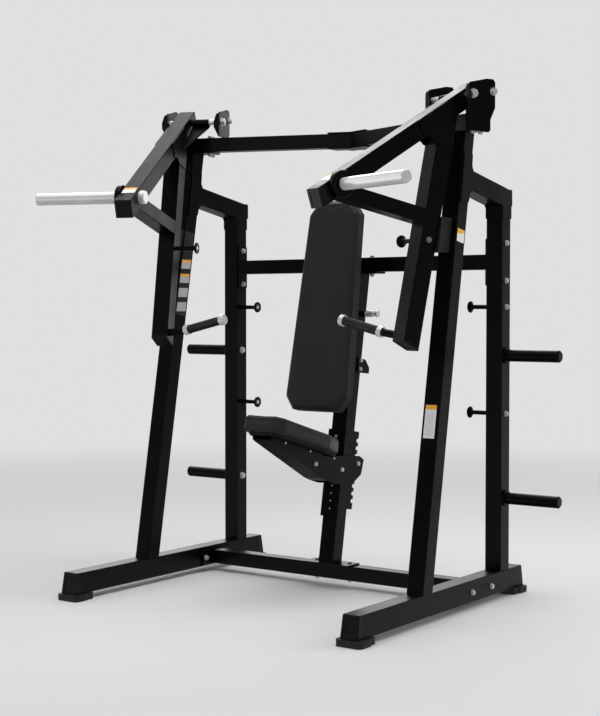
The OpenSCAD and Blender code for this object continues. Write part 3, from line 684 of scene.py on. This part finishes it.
class Plane:
    """Maps pad coordinates (across, along, out) to the machine's frame."""

    def __init__(self, origin, across, along, out):
        self.origin = np.array(origin, float)
        self.axes = np.stack([np.array(a, float) for a in (across, along, out)])

    def __call__(self, a, b, c):
        return self.origin + a * self.axes[0] + b * self.axes[1] + c * self.axes[2]

    def inverse(self, p):
        return self.axes @ (np.array(p, float) - self.origin)


def cad_pad(node, along, out):
    """Reads a CAD pad: base outline, base plane, thickness, and its two ends along its length."""
    points = cad_points(node)
    lengths, heights = points @ along, points @ out
    base = heights.min()
    half = sorted({(round(float(p @ X), 4), round(float(p @ along), 4))
                   for p in points[heights < base + 0.001] if p @ X > 0}, key=lambda q: q[1])
    outline = half + [(-a, b) for a, b in half[::-1]]
    plane = Plane(out * base, X, along, out)
    return outline, plane, heights.max() - base, lengths.min(), lengths.max()


def cushion(name, node, body, outline, plane, profile, spine, voxel, limit, pin_below, seams):
    """A covered pad: crisp start shape, inflated cover, then welts and stitching laid on it.
    profile: (inset, height, corner radius) from the board side to the sitting side.
    seams: (line as in profile, bead radius, stitching's (inset, height) off the line or None)."""
    rings = [[plane(*p) for p in ring] for ring in pad_rings(outline, profile, spine)]
    cover = new_object(name, *loft(rings), VINYL)
    puff(cover, voxel, limit, lambda p: plane.inverse(p)[2] < pin_below)
    attach(cover, body, replaced=node)
    tree = BVHTree.FromPolygons([v.co for v in cover.data.vertices],
                                [p.vertices for p in cover.data.polygons])

    def seam_path(distance, height, radius):
        points = rounded(inset(outline, distance), radius, steps=8)
        return resample([plane(p[0], p[1], height) for p in points], SEAM_STEP)

    for i, ((distance, height, radius), bead, stitch) in enumerate(seams, 1):
        path = onto(tree, seam_path(distance, height, radius), lift=bead * 0.15)
        attach(new_object(f"{name}_welt_{i}", *sweep(path, bead), SEAM), body)
        if stitch:
            path = seam_path(distance + stitch[0], height + stitch[1], radius)
            stitches(f"{name}_stitching_{i}", tree, path, body)


# ------------------------------------------------------------------ cushions
joint = {j["name"]: j for j in frame["joints"]}
X = np.array([1.0, 0, 0])
UP = np.array(joint["seat_height"]["axis"], float)       # along the seat post
BACK = np.array(joint["backrest_depth"]["axis"], float)  # through the post, front to rear
SEAT_SLOPE = math.radians(15.5)                          # down towards the rear


def backrest():
    outline, plane, thick, low, high = cad_pad("backrest_cushion", along=UP, out=-BACK)
    side_seam = (0.0002, thick - 0.0180, 0.008)
    cushion("backrest_pad_cover", "backrest_cushion", "backrest_carriage", outline, plane,
            profile=[(0.0035, 0.0003, 0.006), (0.0002, 0.0040, 0.008), side_seam,
                     (0.0165, thick - 0.0012, 0.006), (0.0240, thick - 0.0010, 0.005)],
            spine=(low + 0.14, high - 0.12), voxel=0.0058, limit=0.0024, pin_below=0.0045,
            seams=[(side_seam, 0.0007, (0.0, -0.0055)),
                   ((0.0165, thick - 0.0010, 0.006), 0.0007, (0.0050, 0.0))])


def seat():
    cos, sin = math.cos(SEAT_SLOPE), math.sin(SEAT_SLOPE)
    outline, plane, thick, low, high = cad_pad("seat_cushion", along=np.array([0, cos, -sin]),
                                               out=np.array([0, sin, cos]))
    low_seam = (0.0003, 0.0085, 0.010)
    high_seam = (0.0003, thick - 0.0110, 0.010)
    cushion("seat_pad_cover", "seat_cushion", "seat_carriage", outline, plane,
            profile=[(0.0075, 0.0004, 0.008), low_seam, high_seam,
                     (0.0085, thick - 0.0012, 0.008), (0.0160, thick - 0.0010, 0.007)],
            spine=(low + 0.10, high - 0.08), voxel=0.0056, limit=0.0028, pin_below=0.0040,
            seams=[(low_seam, 0.0007, (0.0, 0.005)), (high_seam, 0.0007, (0.0, -0.0050)),
                   ((0.0085, thick - 0.0010, 0.008), 0.0006, None)])


backrest()
seat()


# ------------------------------------------------------------------ ribbed grips
GRIP_BORE = 0.0132
GRIP_END_GAP = 0.0003       # the grip stops this far short of the CAD one at each end
GRIP_END_DROP = 0.0024      # lower radius at the very ends
RIB_PITCH = 0.0118
RIB_DEPTH = 0.0021
RIB_STEPS = 12
RIB_SHAPE = 0.55            # below 1 gives broad ribs and narrow grooves
FLUTES = 14                 # shallow lengthwise flutes
FLUTE_DEPTH = 0.00035
GRIP_SIDES = 56


def ribbed_grip(side):
    points = cad_points(side + "_grip")
    centre = points.mean(0)
    offsets = points - centre
    axis = long_axis(offsets)
    t = offsets @ axis
    outer = np.linalg.norm(offsets - np.outer(t, axis), axis=1).max()
    start, end = t.min(), t.max()
    length = end - start
    u = unit(np.cross(axis, [0, 0, 1.0]))
    v = np.cross(axis, u)
    ribs = round(length / RIB_PITCH)
    profile = [(start + GRIP_END_GAP, GRIP_BORE)]
    steps = ribs * RIB_STEPS
    for i in range(steps + 1):
        q = i / steps
        rise = (0.5 - 0.5 * math.cos(2 * math.pi * ribs * q)) ** RIB_SHAPE
        radius = outer - RIB_DEPTH * (1 - rise)
        if q < 0.006 or q > 0.994:
            radius = outer - GRIP_END_DROP
        profile.append((start + GRIP_END_GAP + (length - 2 * GRIP_END_GAP) * q, radius))
    profile.append((end - GRIP_END_GAP, GRIP_BORE))
    verts = []
    for along, radius in profile:
        for s in range(GRIP_SIDES):
            a = 2 * math.pi * s / GRIP_SIDES
            flute = FLUTE_DEPTH * (0.5 + 0.5 * math.cos(FLUTES * a))
            r = radius if radius == GRIP_BORE else radius - flute
            verts.append(centre + axis * along + r * (math.cos(a) * u + math.sin(a) * v))
    faces = band_faces(len(profile), GRIP_SIDES, closed=True)
    grip = new_object(side + "_ribbed_grip", verts, faces, GRIP)
    attach(grip, side + "_arm", replaced=side + "_grip")


for side in SIDES:
    ribbed_grip(side)


# ------------------------------------------------------------------ blank plates on the levers
PLATE_HALF_WIDTH = 0.029        # across the lever
PLATE_HALF_LENGTH = 0.0235      # along the lever
PLATE_CORNER = 0.003
PLATE_THICKNESS = 0.0005
PLATE_LIFT = 0.00012            # above the lever's top
PLATE_FROM_END = 0.062          # plate's centre from the lever's lower end
AMBER_FROM_CENTRE = 0.006       # the amber part starts this far up the lever


def plate_print(side, axis, amber_end):
    """White, with amber where the place along axis is below amber_end."""
    k = Material(side + "_plate_print")
    amber = k.math("LESS_THAN", k.dot(k.coords, tuple(axis)), amber_end)
    return k.shade(Base_Color=k.mix(amber, PRINT_WHITE, PRINT_AMBER),
                   Roughness=k.mottle(scale=120.0, low=0.30, high=0.42))


def lever_plate(side):
    points = cad_points(side + "_lever")
    outward = np.array(arm_outward(side))
    offsets = points - points.mean(0)
    axis = long_axis(offsets - np.outer(offsets @ outward, outward))
    if axis[2] > 0:
        axis = -axis            # towards the lower end
    top = np.cross(outward, axis)
    if top[2] < 0:
        top = -top
    across = points @ outward
    origin = (axis * ((points @ axis).max() - PLATE_FROM_END)
              + top * ((points @ top).max() + PLATE_LIFT)
              + outward * (across.min() / 2 + across.max() / 2))
    w, h = PLATE_HALF_WIDTH, PLATE_HALF_LENGTH
    outline = rounded([(-w, -h), (w, -h), (w, h), (-w, h)], PLATE_CORNER, steps=4)
    rings = [[origin + axis * b + outward * a + top * z for a, b in outline]
             for z in (0.0, PLATE_THICKNESS)]
    material = plate_print(side, axis, float(origin @ axis) - AMBER_FROM_CENTRE)
    plate = new_object(side + "_lever_plate", *loft(rings), material, smooth=False)
    attach(plate, side + "_arm")


for side in SIDES:
    lever_plate(side)


# ------------------------------------------------------------------ floor
FLOOR_RADII = (0.4, 1.0, 1.8, 2.6, 3.6, 5, 8, 14, 26.0)
FLOOR_SIDES = 96
FLOOR_DROP = 0.0002


def floor_material():
    """Pale floor that fades into the background colour away from the machine."""
    k = Material("pale_floor")
    k.shade(Base_Color=(0.725, 0.725, 0.73), Roughness=0.7, IOR=1.2)
    position = k.add("ShaderNodeNewGeometry").outputs["Position"]
    distance = k.add("ShaderNodeVectorMath", {0: position}, operation="LENGTH").outputs["Value"]
    far = k.remap(distance, start=2.2, end=7.0)
    glow = k.add("ShaderNodeEmission", {"Color": BACKGROUND})
    faded = k.add("ShaderNodeMixShader",
                  {0: far, 1: k.principled.outputs[0], 2: glow.outputs[0]})
    output = next(n for n in k.tree.nodes if n.type == "OUTPUT_MATERIAL")
    put(output.inputs[0], faded.outputs[0])
    return k.material


def floor():
    n = FLOOR_SIDES
    verts = [(0, 0, 0)]
    for r in FLOOR_RADII:
        for i in range(n):
            a = 2 * math.pi * i / n
            verts.append((r * math.cos(a), r * math.sin(a), 0))
    faces = [(0, 1 + i, 1 + (i + 1) % n) for i in range(n)]
    faces += band_faces(len(FLOOR_RADII), n, start=1)
    disc = new_object("floor", verts, faces, floor_material())
    for v in disc.data.vertices:
        v.co.z = -FLOOR_DROP
    # the paint takes its reflections from the world panels below the horizon too
    disc.visible_glossy = False


floor()


# ------------------------------------------------------------------ lights
def area(name, place, target, size, power, size_y=None):
    data = bpy.data.lights.new(name, "AREA")
    data.energy = power
    data.size = size
    if size_y:
        data.shape = "RECTANGLE"
        data.size_y = size_y
    lamp = bpy.data.objects.new(name, data)
    scene.collection.objects.link(lamp)
    lamp.location = place
    aim = Vector(target) - Vector(place)
    lamp.rotation_euler = aim.to_track_quat("-Z", "Y").to_euler()
    # reflections come from the panels in the world, so that the lamps don't glare on the paint
    lamp.visible_glossy = False


area("overhead", place=(0.3, 0.2, 5.2), target=(0, 0, 0.6), size=3.4, size_y=3.4, power=176)
area("rear_right", place=(4.6, 3.2, 2.6), target=(0, 0, 1.0), size=3.4, size_y=3.0, power=90)
area("front_left", place=(-4.2, -3.6, 3.0), target=(0, 0, 1.0), size=2.0, power=20)


# ------------------------------------------------------------------ world
REFLECTED_BASE = 0.06       # level between the panels
DIFFUSE_LEVEL = 0.42        # even level seen by all but camera and glossy rays
# direction, cosine off it where the panel fades out, cosine where it is full, level
PANELS = (
    ((-0.08, 1.0, 0.05), 0.86, 0.985, 1.0),        # panel behind
    ((-0.587, 0.639, 0.494), 0.92, 0.98, 3.6),     # strip light above, behind and to the left
    ((-1.0, -0.05, 0.10), 0.82, 0.95, 0.85),       # panel on the left
    ((0.15, -0.985, 0.15), 0.90, 0.98, 0.40),      # small fill in front
    ((0.0, 0.0, -1.0), -0.08, 0.16, 0.42),         # floor towards the horizon
    ((0.0, 0.0, -1.0), 0.25, 0.65, -0.34),         # shaded floor under the machine
    ((0.0, 0.0, 1.0), 0.50, 0.95, 0.9),            # ceiling
)


def studio_world():
    """Plain background for the camera, soft panels for reflections."""
    world = bpy.data.worlds.new("studio")
    scene.world = world
    world.use_nodes = True
    k = Nodes(world.node_tree)
    k.tree.nodes.clear()
    direction = k.add("ShaderNodeTexCoord").outputs["Generated"]
    ray = k.add("ShaderNodeLightPath").outputs
    level = REFLECTED_BASE
    for towards, fade, full, strength in PANELS:
        size = math.sqrt(sum(c * c for c in towards))
        cosine = k.dot(direction, [c / size for c in towards])
        panel = k.remap(cosine, start=fade, end=full, high=strength, interpolation="SMOOTHSTEP")
        level = k.add("ShaderNodeMath", {0: level, 1: panel}, operation="ADD").outputs[0]
    level = k.add("ShaderNodeMix", {0: ray["Is Glossy Ray"], 2: DIFFUSE_LEVEL, 3: level}).outputs[0]
    lighting = k.add("ShaderNodeBackground", {0: (1.0, 1.0, 1.0), 1: level})
    backdrop = k.add("ShaderNodeBackground", {0: BACKGROUND})
    mixed = k.add("ShaderNodeMixShader", {0: ray["Is Camera Ray"], 1: lighting.outputs[0],
                                          2: backdrop.outputs[0]})
    k.add("ShaderNodeOutputWorld", {0: mixed.outputs[0]})


studio_world()
scene.view_settings.view_transform = "Standard"
scene.view_settings.look = "None"


# ------------------------------------------------------------------ camera
def camera():
    data = bpy.data.cameras.new("camera")
    data.sensor_width = 36.0
    data.lens = 71.41
    data.clip_end = 200.0
    cam = bpy.data.objects.new("camera", data)
    scene.collection.objects.link(cam)
    cam.location = (3.5389, -4.8998, 1.2216)
    yaw, pitch = 0.6226, 0.0339     # left of +Y and below level, in radians
    view = Vector((-math.sin(yaw) * math.cos(pitch), math.cos(yaw) * math.cos(pitch),
                   -math.sin(pitch)))
    cam.rotation_euler = view.to_track_quat("-Z", "Y").to_euler()
    scene.camera = cam


camera()
